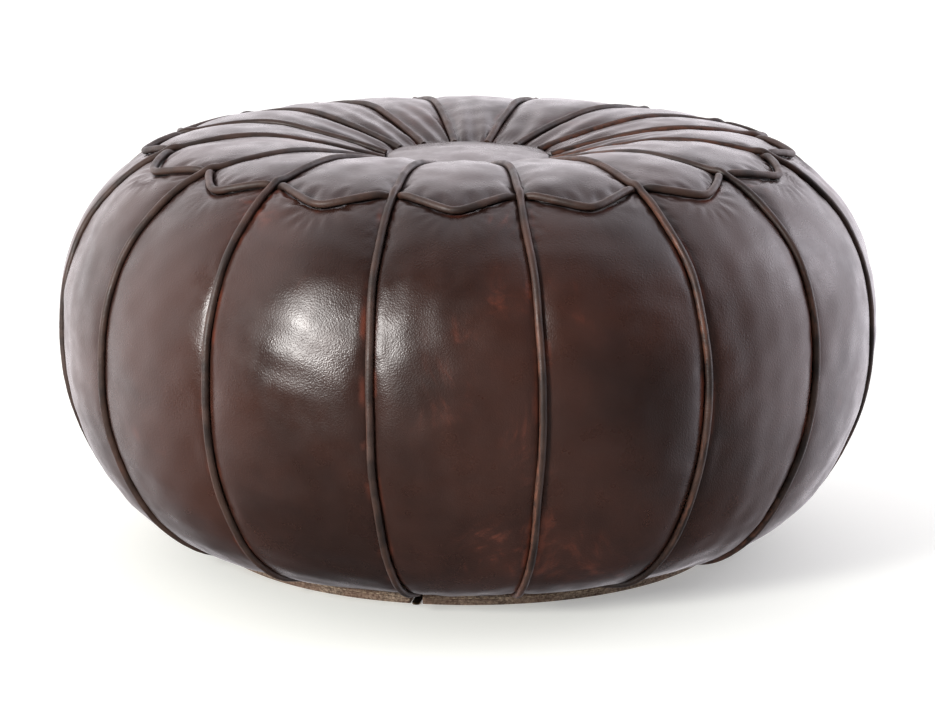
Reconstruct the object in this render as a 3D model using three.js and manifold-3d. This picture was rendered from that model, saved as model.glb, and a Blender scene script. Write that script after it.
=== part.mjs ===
// A round Moroccan leather pouf: sixteen leather gores and sixteen petals sewn together over
// corded pipings, a domed leather disc in the dimple of the seat, a suede base with a zip, and a
// stuffed calico bag inside. Millimetres, +Z up; the pouf stands on z = 0 with its axis on Z.
// Azimuth 0 is the front (-Y) and grows towards +X.

import Module from 'manifold-3d';
import * as THREE from 'three';
import { mergeVertices } from 'three/addons/utils/BufferGeometryUtils.js';

// ---- driving dimensions ----

const LOBES = 16;                  // gores, petals and radial seams
const FIRST_SEAM_DEG = -13.1;      // azimuth of seam 01
const LEATHER = 2;                 // thickness of a leather panel
const CLEARANCE = 0.4;             // gap between neighbouring pieces

// The radial seam, from the foot of the wall, round the belly and over the crest, to the disc.
const SEAM_POINTS = [
  [190, 8], [223, 17.5], [254.5, 43.5], [277.5, 80], [292.5, 121.5], [296.5, 166], [291, 210],
  [272, 250], [236, 282.5], [198, 295.5], [153.5, 300.5], [110, 294.5], [62, 283],
];
const WALL_BULGE = 4;              // crown of a gore between its two seams
const FULL_BULGE_AT = 110;         // seam length over which the crown grows from nothing
const PANEL_COLUMNS = 4;           // steps across a panel, which the zig-zag cord shares

const PIPING_RADIUS = 3;           // a 4 mm cord in a 1 mm leather strip
const PIPING_LIFT = 2;             // height of a piping's centre line above the seam
const PIPING_SIDES = 6;

// The zig-zag seam between gores and petals, as lengths along the radial seam.
const VALLEY_AT = 368;             // where the zig-zag passes under a radial piping
const TIP_AT = 346;                // where it reaches furthest down, at the middle of a gore
const TIP_ROUNDING = 0.18;         // share of a half panel over which the tip is rounded
const ZIGZAG_DIP = -6.5;           // depth of the zig-zag's centre line under a radial piping
const ZIGZAG_HALF_GAP = 5.6;       // half the strip that gores and petals leave for the cord

const DISC_RADIUS = 60;
const DISC_EDGE_Z = 283;
const DISC_DOME = 4;

const BASE_INNER_RADIUS = 177;     // inside of the welt, and the recess that holds the zip
const BASE_FLOOR_RADIUS = 187;     // where the welt meets the floor
const BASE_TOP_RADIUS = 190;       // where the welt meets the wall
const BASE_HEIGHT = 7.5;
const BASE_PANEL_Z = 5;            // underside of the suede base halves

const ZIP_DEG = -10.6;             // azimuth of the zip's closed end
const ZIP_HALF_LENGTH = 169;
const ZIP_SLOT_HALF = 8.5;         // half the slot between the base halves
const TAPE_OUTER = 19;             // half the zip's whole width
const TAPE_Z = 7.3;
const TAPE_THICKNESS = 0.8;
const COIL_RADIUS = 1.6;
const COIL_CENTRE = [2.2, 7.7];    // across the zip, and height
const SLIDER_LENGTH = 13;
const SLIDER_HALF_WIDTH = 6.5;
const PULL_LENGTH = 32;
const PULL_WIDTH = 6;
const PULL_THICKNESS = 1.1;
const PULL_TILT_DEG = 3;           // how far the pull droops towards the floor
const PULL_WINDOW = 3.6;           // width of the window that hooks over the slider's bridge
const PIVOT_Z = 2.4;               // height of the pull's crossbar above the floor
const NOTCH_HALF_WIDTH = 4.5;      // the welt's notch where the pull lies

const BAG_INSET = 11;              // from the seam down to the calico bag
const BAG_THICKNESS = 1.2;
const BAG_MOUTH_RADIUS = 45;
const BAG_FLOOR_Z = 14;
const ROUND_SEGMENTS = 28;

// ---- colours ----

const material = (color, roughness, metalness = 0) =>
  new THREE.MeshStandardMaterial({ color, roughness, metalness });

const wallLeather = () => material(0x3a211c, 0.38);
const petalLeather = () => material(0x42292a, 0.35);
const pipingLeather = () => material(0x3b211b, 0.5);
const suede = () => material(0x6a4c3a, 0.95);
const zipTape = () => material(0x241813, 0.9);
const zipMetal = () => material(0x8a6a3a, 0.35, 1);
const calico = () => material(0xd9cfb8, 0.9);
const fibre = () => material(0xe8e4da, 1);

// ---- the sewn surface ----

const seam = new THREE.SplineCurve(SEAM_POINTS.map(([r, z]) => new THREE.Vector2(r, z)));
const SEAM_LENGTH = seam.getLength();
const PITCH = (2 * Math.PI) / LOBES;
const FIRST_SEAM = THREE.MathUtils.degToRad(FIRST_SEAM_DEG);

/** Point on the seam's own plane, `along` mm from the foot and `lift` mm outside the leather. */
function profile(along, lift = 0) {
  const t = THREE.MathUtils.clamp(along / SEAM_LENGTH, 0, 1);
  const point = seam.getPointAt(t);
  const run = seam.getTangentAt(t);
  return new THREE.Vector2(point.x + run.y * lift, point.y - run.x * lift);
}

/** Point on the pouf at an azimuth in radians. */
function onPouf(azimuth, along, lift = 0) {
  const { x: r, y: z } = profile(along, lift);
  return new THREE.Vector3(r * Math.sin(azimuth), -r * Math.cos(azimuth), z);
}

/** Crown of a panel at `across` (0 to 1 between its seams). */
function bulge(along, across) {
  const grown = THREE.MathUtils.smoothstep(along, 0, FULL_BULGE_AT);
  const fades = THREE.MathUtils.smoothstep(SEAM_LENGTH - along, 0, FULL_BULGE_AT);
  return WALL_BULGE * grown * fades * (1 - (2 * across - 1) ** 2);
}

/** Length along the radial seam at which the zig-zag lies, for a place across the panel. */
function zigzagAt(across) {
  const fromMiddle = Math.abs(2 * across - 1);
  const rounded = Math.hypot(fromMiddle, TIP_ROUNDING) - TIP_ROUNDING;
  const full = Math.hypot(1, TIP_ROUNDING) - TIP_ROUNDING;
  return TIP_AT + (VALLEY_AT - TIP_AT) * (rounded / full);
}

/** A closed leather panel between two seams; `from` and `to` give its ends by place across. */
function panel(index, from, to, stepsAlong) {
  const left = FIRST_SEAM + PITCH * index;
  const positions = [];
  const faces = [];
  const row = PANEL_COLUMNS + 1;
  const layer = row * (stepsAlong + 1);
  for (const depth of [0, -LEATHER]) {
    for (let j = 0; j <= stepsAlong; j++) {
      for (let i = 0; i <= PANEL_COLUMNS; i++) {
        const column = i / PANEL_COLUMNS;
        const along = THREE.MathUtils.lerp(from(column), to(column), j / stepsAlong);
        const margin = (PIPING_RADIUS + CLEARANCE) / profile(along).x / PITCH;
        const across = THREE.MathUtils.clamp(column, margin, 1 - margin);
        const lift = bulge(along, across) + depth;
        positions.push(...onPouf(left + PITCH * across, along, lift).toArray());
      }
    }
  }
  const quad = (a, b, c, d) => faces.push(a, b, c, a, c, d);
  for (let j = 0; j < stepsAlong; j++) {
    for (let i = 0; i < PANEL_COLUMNS; i++) {
      const a = j * row + i;
      quad(a, a + 1, a + row + 1, a + row);
      quad(layer + a, layer + a + row, layer + a + row + 1, layer + a + 1);
    }
  }
  const rim = (a, b) => quad(b, a, layer + a, layer + b);
  for (let i = 0; i < PANEL_COLUMNS; i++) {
    rim(i, i + 1);
    rim(stepsAlong * row + i + 1, stepsAlong * row + i);
  }
  for (let j = 0; j < stepsAlong; j++) {
    rim((j + 1) * row, j * row);
    rim(j * row + PANEL_COLUMNS, (j + 1) * row + PANEL_COLUMNS);
  }
  const geometry = new THREE.BufferGeometry();
  geometry.setAttribute('position', new THREE.Float32BufferAttribute(positions, 3));
  geometry.setIndex(faces);
  return geometry;
}

function gore(index) {
  const foot = () => 4;
  const edge = (across) => zigzagAt(across) - ZIGZAG_HALF_GAP;
  return panel(index, foot, edge, 10);
}

function petal(index) {
  const edge = (across) => zigzagAt(across) + ZIGZAG_HALF_GAP;
  const discEdge = () => SEAM_LENGTH;
  return panel(index, edge, discEdge, 5);
}

// ---- pipings ----

function roundSection(radius, sides) {
  const corner = (i) => {
    const turn = (2 * Math.PI * (i + 0.5)) / sides;
    return new THREE.Vector2(radius * Math.cos(turn), radius * Math.sin(turn));
  };
  return new THREE.Shape(Array.from({ length: sides }, (_, i) => corner(i)));
}

/** A curve given by a function of 0..1. */
class Route extends THREE.Curve {
  constructor(place) {
    super();
    this.place = place;
  }
  getPoint(t, target = new THREE.Vector3()) {
    return target.copy(this.place(t));
  }
}

function piping(route, steps) {
  const section = roundSection(PIPING_RADIUS, PIPING_SIDES);
  return new THREE.ExtrudeGeometry(section, { steps, extrudePath: route, bevelEnabled: false });
}

function seamPiping(index) {
  const azimuth = FIRST_SEAM + PITCH * index;
  const start = 7;
  const end = SEAM_LENGTH - 5;
  const place = (t) => onPouf(azimuth, THREE.MathUtils.lerp(start, end, t), PIPING_LIFT);
  return piping(new Route(place), 19);
}

/** The cord between gores and petals: one ring that passes under every radial piping. */
function petalPiping() {
  const place = (t) => {
    const lobe = t * LOBES;
    const across = lobe - Math.floor(lobe);
    const along = zigzagAt(across);
    const fromSeam = Math.min(across, 1 - across) * PITCH * profile(along).x;
    const risen = THREE.MathUtils.smoothstep(fromSeam, 7, 20);
    const proud = PIPING_LIFT + bulge(along, across);
    const lift = THREE.MathUtils.lerp(ZIGZAG_DIP, proud, risen);
    return onPouf(FIRST_SEAM + PITCH * lobe, along, lift);
  };
  const stepsPerLobe = PANEL_COLUMNS;
  const rings = LOBES * stepsPerLobe;
  const positions = [];
  const faces = [];
  for (let k = 0; k < rings; k++) {
    const here = place(k / rings);
    const run = place((k + 0.5) / rings).sub(place((k - 0.5 + rings) / rings % 1)).normalize();
    const up = new THREE.Vector3(0, 0, 1);
    const side = new THREE.Vector3().crossVectors(run, up).normalize();
    up.crossVectors(side, run);
    for (let i = 0; i < PIPING_SIDES; i++) {
      const turn = (2 * Math.PI * i) / PIPING_SIDES;
      const corner = here.clone()
        .addScaledVector(side, PIPING_RADIUS * Math.cos(turn))
        .addScaledVector(up, PIPING_RADIUS * Math.sin(turn));
      positions.push(...corner.toArray());
      const a = k * PIPING_SIDES + i;
      const b = k * PIPING_SIDES + (i + 1) % PIPING_SIDES;
      const ahead = PIPING_SIDES * rings;
      const c = (a + PIPING_SIDES) % ahead;
      const d = (b + PIPING_SIDES) % ahead;
      faces.push(a, d, b, a, c, d);
    }
  }
  const geometry = new THREE.BufferGeometry();
  geometry.setAttribute('position', new THREE.Float32BufferAttribute(positions, 3));
  geometry.setIndex(faces);
  return geometry;
}

// ---- round pieces: profiles of [radius, height], turned about the axis ----

/** Turns a profile about the Z axis. */
function turned(points) {
  const outline = points.map(([r, z]) => new THREE.Vector2(r, z));
  const geometry = new THREE.LatheGeometry(outline, ROUND_SEGMENTS);
  return geometry.rotateX(Math.PI / 2);
}

function topDisc() {
  const top = (r) => DISC_EDGE_Z + DISC_DOME * (1 - (r / DISC_RADIUS) ** 2);
  const radii = [0, 20, 40, DISC_RADIUS];
  const upper = radii.map((r) => [r, top(r)]);
  const lower = radii.map((r) => [r, top(r) - LEATHER]);
  return turned([...lower, ...upper.reverse()]);
}

/** Outline of what lies inside the leather, from the mouth radius at the bottom to the axis. */
function insideOutline(inset, mouthRadius, floorZ) {
  const steps = 13;
  const points = [[mouthRadius, floorZ]];
  for (let i = 0; i <= steps; i++) {
    const along = THREE.MathUtils.lerp(8, SEAM_LENGTH - 4, i / steps);
    points.push(profile(along, -inset).toArray());
  }
  points.push([0, DISC_EDGE_Z - inset]);
  return points;
}

function fillingBag() {
  const outer = insideOutline(BAG_INSET, BAG_MOUTH_RADIUS, BAG_FLOOR_Z);
  const inner = insideOutline(BAG_INSET + BAG_THICKNESS, BAG_MOUTH_RADIUS, BAG_FLOOR_Z + BAG_THICKNESS);
  return turned([inner[0], ...outer, ...inner.slice(1).reverse(), inner[0]]);
}

function filling() {
  const inset = BAG_INSET + BAG_THICKNESS + CLEARANCE;
  const floorZ = BAG_FLOOR_Z + BAG_THICKNESS + CLEARANCE;
  return turned([[0, floorZ], ...insideOutline(inset, BAG_MOUTH_RADIUS, floorZ)]);
}

// ---- base: drawn with the zip along Y, its closed end at -Y ----

function extruded(shape, depth, z) {
  return new THREE.ExtrudeGeometry(shape, { depth, bevelEnabled: false, curveSegments: 20 })
    .translate(0, 0, z);
}

/** Points of a circle that is open at the front by the width of the notch. */
function notchedCircle(radius) {
  const notch = Math.asin(NOTCH_HALF_WIDTH / radius);
  const segments = 60;
  return Array.from({ length: segments + 1 }, (_, i) => {
    const turn = THREE.MathUtils.lerp(notch, 2 * Math.PI - notch, i / segments) - Math.PI / 2;
    return new THREE.Vector2(radius * Math.cos(turn), radius * Math.sin(turn));
  });
}

/** Suede band under the foot of the wall, notched where the pull lies. */
function baseWelt() {
  const inner = notchedCircle(BASE_INNER_RADIUS).reverse();
  const ring = new THREE.Shape([...notchedCircle(BASE_FLOOR_RADIUS), ...inner]);
  const geometry = extruded(ring, BASE_HEIGHT, 0);
  const corners = geometry.getAttribute('position');
  const middle = (BASE_INNER_RADIUS + BASE_FLOOR_RADIUS) / 2;
  for (let i = 0; i < corners.count; i++) {
    const r = Math.hypot(corners.getX(i), corners.getY(i));
    if (r > middle && corners.getZ(i) > BASE_HEIGHT / 2) {
      const wider = BASE_TOP_RADIUS / r;
      corners.setXY(i, corners.getX(i) * wider, corners.getY(i) * wider);
    }
  }
  return geometry;
}

/** Half of the suede base; `side` is +1 for right and -1 for left. */
function baseHalf(side) {
  const radius = BASE_INNER_RADIUS - CLEARANCE;
  const reach = Math.acos(ZIP_SLOT_HALF / radius);
  const middle = side > 0 ? 0 : Math.PI;
  const shape = new THREE.Shape();
  shape.absarc(0, 0, radius, middle - reach, middle + reach, false);
  return extruded(shape, LEATHER, BASE_PANEL_Z);
}

/** A section across the zip (x, z), run along Y from one place to another. */
function alongZip(points, fromY, toY) {
  const shape = new THREE.Shape(points.map(([x, z]) => new THREE.Vector2(x, z)));
  return new THREE.ExtrudeGeometry(shape, { depth: toY - fromY, bevelEnabled: false })
    .rotateX(Math.PI / 2)
    .translate(0, toY, 0);
}

/** Zip tape with its coil of teeth along the inner edge. */
function zipHalf(side) {
  const [coilX, coilZ] = COIL_CENTRE;
  const bottom = TAPE_Z;
  const top = TAPE_Z + TAPE_THICKNESS;
  const bead = COIL_RADIUS;
  const outline = [
    [coilX - bead, coilZ], [coilX - bead / 2, coilZ - bead], [coilX + bead / 2, coilZ - bead],
    [coilX + bead, bottom], [TAPE_OUTER, bottom], [TAPE_OUTER, top], [coilX + bead, top],
    [coilX + bead / 2, coilZ + bead], [coilX - bead / 2, coilZ + bead],
  ];
  const sided = outline.map(([x, z]) => [side * x, z]);
  return alongZip(sided, -ZIP_HALF_LENGTH, ZIP_HALF_LENGTH);
}

const SLIDER_FRONT = -ZIP_HALF_LENGTH + 6;
const PIVOT_Y = SLIDER_FRONT + 3;

/** Slider: a plate under the chain and one over it, joined by a thin web between the coils. */
function sliderBody() {
  const w = SLIDER_HALF_WIDTH;
  const flange = 1.2;
  const web = 0.2;
  const lower = { bottom: 3.6, top: 4.8, lip: TAPE_Z - CLEARANCE };
  const upper = { bottom: 9.9, top: 11, lip: TAPE_Z + TAPE_THICKNESS + CLEARANCE };
  const right = [
    [w, lower.bottom], [w, lower.lip], [w - flange, lower.lip], [w - flange, lower.top],
    [web, lower.top], [web, upper.bottom], [w - flange, upper.bottom],
    [w - flange, upper.lip], [w, upper.lip], [w, upper.top],
  ];
  const left = right.map(([x, z]) => [-x, z]).reverse();
  return alongZip([...right, ...left], SLIDER_FRONT, SLIDER_FRONT + SLIDER_LENGTH);
}

/** Bridge under the slider, which holds the pull's crossbar. */
function sliderBridge() {
  const width = 2;
  const frame = new THREE.Shape(rectangle(-2.2, 0.5 - PIVOT_Z, 2.2, 3.9 - PIVOT_Z));
  frame.holes.push(new THREE.Path(rectangle(-1.4, 1.2 - PIVOT_Z, 1.4, 3.6 - PIVOT_Z)));
  return new THREE.ExtrudeGeometry(frame, { depth: width, bevelEnabled: false })
    .rotateX(Math.PI / 2)
    .rotateZ(Math.PI / 2)
    .translate(-width / 2, PIVOT_Y, PIVOT_Z);
}

function rectangle(left, low, right, high) {
  return [[left, low], [right, low], [right, high], [left, high]]
    .map(([x, y]) => new THREE.Vector2(x, y));
}

/** Flat pull that hooks over the bridge and lies out through the welt's notch. */
function zipPull() {
  const half = PULL_WIDTH / 2;
  const bar = PULL_THICKNESS / 2;
  const outline = new THREE.Shape();
  outline.moveTo(half, bar);
  outline.lineTo(-half, bar);
  outline.absarc(0, -PULL_LENGTH + half, half, Math.PI, 2 * Math.PI, false);
  const window = rectangle(-PULL_WINDOW / 2, -bar - 4, PULL_WINDOW / 2, -bar);
  outline.holes.push(new THREE.Path(window));
  const options = { depth: PULL_THICKNESS, bevelEnabled: false, curveSegments: 6 };
  return new THREE.ExtrudeGeometry(outline, options)
    .translate(0, 0, -bar)
    .rotateX(THREE.MathUtils.degToRad(PULL_TILT_DEG))
    .translate(0, PIVOT_Y, PIVOT_Z);
}

/** Metal staple across the open end of the two coils. */
function zipStop() {
  const w = 4.2;
  const lower = COIL_CENTRE[1] - COIL_RADIUS;
  const upper = COIL_CENTRE[1] + COIL_RADIUS;
  const section = [[-w, lower], [w, lower], [w, upper], [-w, upper]];
  return alongZip(section, ZIP_HALF_LENGTH + CLEARANCE, ZIP_HALF_LENGTH + 2.4);
}

// ---- joining solids ----

const solids = await Module();
solids.setup();

function toSolid(geometry) {
  const bare = geometry.clone().deleteAttribute('normal').deleteAttribute('uv');
  const merged = mergeVertices(bare);
  return new solids.Manifold(new solids.Mesh({
    numProp: 3,
    vertProperties: merged.getAttribute('position').array,
    triVerts: new Uint32Array(merged.getIndex().array),
  }));
}

function joined(first, second) {
  const mesh = toSolid(first).add(toSolid(second)).getMesh();
  const geometry = new THREE.BufferGeometry();
  geometry.setAttribute('position', new THREE.BufferAttribute(mesh.vertProperties, 3));
  geometry.setIndex(new THREE.BufferAttribute(mesh.triVerts, 1));
  return geometry;
}

// ---- assembly ----

const pouf = new THREE.Group();

function add(parent, name, geometry, finish) {
  const mesh = new THREE.Mesh(geometry, finish);
  mesh.name = name;
  parent.add(mesh);
}

for (let index = 0; index < LOBES; index++) {
  const number = String(index + 1).padStart(2, '0');
  add(pouf, `wall_gore_${number}`, gore(index), wallLeather());
  add(pouf, `petal_${number}`, petal(index), petalLeather());
  add(pouf, `seam_piping_${number}`, seamPiping(index), pipingLeather());
}
add(pouf, 'petal_piping', petalPiping(), pipingLeather());
add(pouf, 'top_disc', topDisc(), petalLeather());
add(pouf, 'filling_bag', fillingBag(), calico());
add(pouf, 'filling', filling(), fibre());

const base = new THREE.Group();
base.rotation.z = THREE.MathUtils.degToRad(ZIP_DEG);
pouf.add(base);
add(base, 'base_welt', baseWelt(), suede());
add(base, 'base_half_left', baseHalf(-1), suede());
add(base, 'base_half_right', baseHalf(1), suede());
add(base, 'zip_half_left', zipHalf(-1), zipTape());
add(base, 'zip_half_right', zipHalf(1), zipTape());
add(base, 'zip_stop', zipStop(), zipMetal());
add(base, 'zip_slider', joined(sliderBody(), sliderBridge()), zipMetal());
add(base, 'zip_pull', zipPull(), zipMetal());

export default pouf;
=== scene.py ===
import math

import bmesh
import bpy
import numpy as np
from mathutils import Matrix, Vector


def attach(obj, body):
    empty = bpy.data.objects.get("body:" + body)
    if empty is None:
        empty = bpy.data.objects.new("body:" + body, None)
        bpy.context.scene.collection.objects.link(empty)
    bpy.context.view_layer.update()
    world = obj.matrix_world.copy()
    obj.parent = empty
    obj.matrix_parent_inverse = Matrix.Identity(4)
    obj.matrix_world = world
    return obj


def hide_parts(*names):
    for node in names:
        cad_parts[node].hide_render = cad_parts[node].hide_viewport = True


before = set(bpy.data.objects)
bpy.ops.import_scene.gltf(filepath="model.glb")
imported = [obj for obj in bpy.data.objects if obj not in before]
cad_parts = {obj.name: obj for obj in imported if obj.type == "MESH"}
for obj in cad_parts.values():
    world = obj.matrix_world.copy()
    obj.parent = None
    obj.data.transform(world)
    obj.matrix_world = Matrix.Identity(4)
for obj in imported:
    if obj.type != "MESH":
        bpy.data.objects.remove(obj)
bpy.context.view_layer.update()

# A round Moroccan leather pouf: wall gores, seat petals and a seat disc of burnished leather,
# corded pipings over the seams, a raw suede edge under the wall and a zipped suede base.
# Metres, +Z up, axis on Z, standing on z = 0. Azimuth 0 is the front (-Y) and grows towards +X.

# ---------------------------------------------------------------- driving sizes

LOBES = 16
PITCH = 2 * math.pi / LOBES
FIRST_SEAM = math.radians(-13.1)

# The radial seam (radius, height), from the foot of the wall over the crest to the seat disc.
SEAM_POINTS = (
    (0.190, 0.0090), (0.223, 0.0190), (0.2545, 0.0440), (0.2775, 0.080), (0.2925, 0.1215),
    (0.2965, 0.166), (0.291, 0.210), (0.272, 0.250), (0.236, 0.2825), (0.198, 0.2955),
    (0.1535, 0.3005), (0.110, 0.2945), (0.062, 0.283),
)
# How far each hand-sewn seam wanders from its even place, in degrees, at these shares of it.
WANDER_AT = (0.0, 0.15, 0.45, 0.68, 0.82, 1.0)
WANDER = (
    (3.0, 1.5, 0.5, 0.0, -1.0, 0.0),
    (0.0, 0.0, 0.0, -0.5, 1.0, 0.0),
    (-2.5, -0.3, 0.6, -0.3, 1.0, 0.0),
    (0.0, -2.2, -0.8, -0.4, -2.0, 0.0),
    (0.0, 1.0, 0.0, 2.2, 0.0, 0.0),
    (0.0, 0.0, 1.0, 1.5, -2.0, 0.0),
    (0.0, 0.0, -1.0, -3.5, -2.5, 0.0),
    (0.0, 0.0, -1.0, -4.0, -4.0, 0.0),
    (0.0, 0.0, 1.0, -1.5, -1.0, 0.0),
    (0.0, 0.0, -1.0, 2.0, 0.0, 0.0),
    (0.0, 0.0, 1.0, 2.5, -2.0, 0.0),
    (0.0, 0.0, 0.0, -1.5, -3.5, 0.0),
    (0.0, 0.0, 1.0, 1.2, -3.0, 0.0),
    (1.0, 2.0, 1.5, -0.8, -2.0, 0.0),
    (-1.0, -1.5, 0.2, 1.6, 4.0, 0.0),
    (-0.5, -0.5, -0.3, -1.0, -2.0, 0.0),
)
BULGE = 0.0017                  # crown of a panel between its seams
BULGE_FULL_AT = 0.11            # seam length over which the crown grows at either end
LEATHER = 0.0016

VALLEY_AT = 0.368               # seam length where the zig-zag seam passes under a radial piping
TIP_AT = 0.346                  # and where it reaches furthest down, at the middle of a gore
TIP_ROUNDING = 0.16

PIPING_RADIUS = 0.0026
PIPING_LIFT = 0.0004
ZIGZAG_LIFT = 0.0012
SEAM_ALLOWANCE = 0.0009         # from the seam's middle to a panel's edge
SEAM_DEPTH = 0.0036             # how deep the leather dives beside a piping
SEAM_ROLL = 0.0020              # width over which it dives
ZIGZAG_SLANT = 0.9              # distance from the zig-zag for each metre of seam length

DISC_RADIUS = 0.060
DISC_EDGE_Z = 0.283
DISC_DOME = 0.005

BASE_INNER = 0.177              # inside of the suede band, where the base's two halves start
BASE_FLOOR = 0.1885             # outside of the band at the floor
BASE_TOP = 0.1905               # and at its top
BASE_HEIGHT = 0.0075
HALF_Z = 0.0068                 # height of the suede halves
PULL_OPENING = 0.0045           # half of the gap in the band for the zip's pull
STITCH_PITCH = 0.0052

ZIP_AZIMUTH = math.radians(-10.6)
ZIP_HALF = 0.169
SLOT_HALF = 0.0085              # half of the slot between the suede halves
TAPE = (0.0012, 0.019, 0.0077)  # the tape's inner edge, outer edge and height
COIL_AT = (0.0022, 0.0077)      # the coil's distance from the zip's middle, and its height
ZIP_STITCH_AT = (0.0125, 0.158, 0.0053)  # its stitches' distance from the middle, reach and height

BAG_INSET = 0.0112              # from the seam curve in to the calico bag
FILL_INSET = 0.0135             # and in to the filling
BAG_FLOOR = 0.0145
FILL_FLOOR = 0.0168
BAG_MOUTH = 0.045

SEED = 11


# ---------------------------------------------------------------- the sewn surface

def smooth_curve(points, per_span=60):
    """Closely spaced points of the Catmull-Rom curve through points."""
    given = np.array(points, float)
    padded = np.vstack([given[:1], given, given[-1:]])
    t = np.linspace(0, 1, per_span, endpoint=False)[:, None]
    spans = []
    for a, b, c, d in zip(padded, padded[1:], padded[2:], padded[3:]):
        spans.append(0.5 * (2 * b + (c - a) * t + (2 * a - 5 * b + 4 * c - d) * t ** 2
                            + (3 * b - a - 3 * c + d) * t ** 3))
    return np.vstack([*spans, given[-1:]])


SEAM = smooth_curve(SEAM_POINTS)
SEAM_RUN = np.concatenate([[0], np.cumsum(np.hypot(*np.diff(SEAM, axis=0).T))])
SEAM_LENGTH = SEAM_RUN[-1]
_forward = np.gradient(SEAM, SEAM_RUN, axis=0)
SEAM_NORMAL = np.stack([_forward[:, 1], -_forward[:, 0]], axis=1)
SEAM_NORMAL /= np.linalg.norm(SEAM_NORMAL, axis=1)[:, None]
WANDER_CURVES = [smooth_curve(list(zip(WANDER_AT, np.radians(row)))) for row in WANDER]


def along_seam(values, along):
    return np.interp(along, SEAM_RUN, values)


def on_pouf(azimuth, along, lift):
    """Points at an azimuth, a length along the seam and a height over it."""
    radius = along_seam(SEAM[:, 0], along) + along_seam(SEAM_NORMAL[:, 0], along) * lift
    height = along_seam(SEAM[:, 1], along) + along_seam(SEAM_NORMAL[:, 1], along) * lift
    return np.stack([radius * np.sin(azimuth), -radius * np.cos(azimuth), height], axis=-1)


def seam_azimuth(index, along):
    """Where a radial seam lies; index may run past the last seam into the next turn."""
    curve = WANDER_CURVES[index % LOBES]
    return FIRST_SEAM + PITCH * index + np.interp(along / SEAM_LENGTH, curve[:, 0], curve[:, 1])


def smoothstep(value, low, high):
    t = np.clip((value - low) / (high - low), 0, 1)
    return t * t * (3 - 2 * t)


def crown(along, across):
    grown = smoothstep(along, 0, BULGE_FULL_AT)
    fades = smoothstep(SEAM_LENGTH - along, 0, BULGE_FULL_AT)
    return BULGE * grown * (0.25 + 0.75 * fades) * (1 - np.abs(2 * across - 1) ** 2.2)


def zigzag(across):
    """Length along the seam of the zig-zag, for a place across the panel."""
    rounded = np.hypot(2 * across - 1, TIP_ROUNDING) - TIP_ROUNDING
    full = math.hypot(1, TIP_ROUNDING) - TIP_ROUNDING
    return TIP_AT + (VALLEY_AT - TIP_AT) * rounded / full


def panel_azimuth(index, along, across):
    left, right = seam_azimuth(index, along), seam_azimuth(index + 1, along)
    margin = SEAM_ALLOWANCE / along_seam(SEAM[:, 0], along)
    return left + margin + (right - left - 2 * margin) * across


def dive(distance):
    """How far the leather dives at a distance from a seam."""
    return SEAM_DEPTH * np.exp(-distance / SEAM_ROLL)


class Panel:
    """One leather panel as a grid: columns across it, rows along it."""

    def __init__(self, kind, index, columns, rows):
        even = np.linspace(0, 1, columns + 1)
        crowded = 0.5 * even + 0.5 * (1 - np.cos(math.pi * even)) / 2
        self.kind, self.index = kind, index
        self.across, down = np.meshgrid(crowded, np.linspace(0, 1, rows + 1))
        if kind == "gore":
            down = 0.5 * down + 0.5 * np.sin(down * math.pi / 2)
            start, end = 0.002, zigzag(self.across) - SEAM_ALLOWANCE
        else:
            down = 0.5 * down + 0.5 * (1 - np.cos(math.pi * down)) / 2
            start, end = zigzag(self.across) + SEAM_ALLOWANCE, SEAM_LENGTH
        self.along = start + (end - start) * down

    def shape(self):
        """The sewn shape before the filling presses it out."""
        along, across = self.along, self.across
        azimuth = panel_azimuth(self.index, along, across)
        radius = along_seam(SEAM[:, 0], along)
        width = radius * (seam_azimuth(self.index + 1, along) - seam_azimuth(self.index, along))
        to_side = width * np.minimum(across, 1 - across) + SEAM_ALLOWANCE
        to_zigzag = np.abs(along - zigzag(across)) * ZIGZAG_SLANT
        lift = crown(along, across) - dive(to_side) - dive(to_zigzag)
        if self.kind == "petal":
            lift -= 0.5 * dive((SEAM_LENGTH - along) / 2)
        return on_pouf(azimuth, along, lift)


# ---------------------------------------------------------------- meshes

def make_object(name, points, faces):
    mesh = bpy.data.meshes.new(name)
    mesh.from_pydata([tuple(p) for p in np.asarray(points, float)], [], [tuple(f) for f in faces])
    mesh.validate()
    made = bpy.data.objects.new(name, mesh)
    bpy.context.scene.collection.objects.link(made)
    return made


def grid_faces(rows, columns, first=0, wrap=False):
    """Quads of a grid of points, which face out when rows run up and columns run to the right."""
    across = columns if wrap else columns - 1
    j, i = np.meshgrid(np.arange(rows - 1), np.arange(across), indexing="ij")
    a = j * columns + i
    b = j * columns + (i + 1) % columns
    return first + np.stack([a, b, b + columns, a + columns], axis=-1).reshape(-1, 4)


def give(made, name, values):
    """A number for each vertex, for the materials."""
    layer = made.data.attributes.new(name, "FLOAT", "POINT")
    layer.data.foreach_set("value", np.asarray(values, np.float32).ravel())


def shade_smooth(made):
    made.data.polygons.foreach_set("use_smooth", [True] * len(made.data.polygons))


def applied(made):
    """Turns an object's modifiers into plain mesh."""
    depsgraph = bpy.context.evaluated_depsgraph_get()
    plain = bpy.data.meshes.new_from_object(made.evaluated_get(depsgraph))
    made.modifiers.clear()
    made.data = plain
    return made


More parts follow.
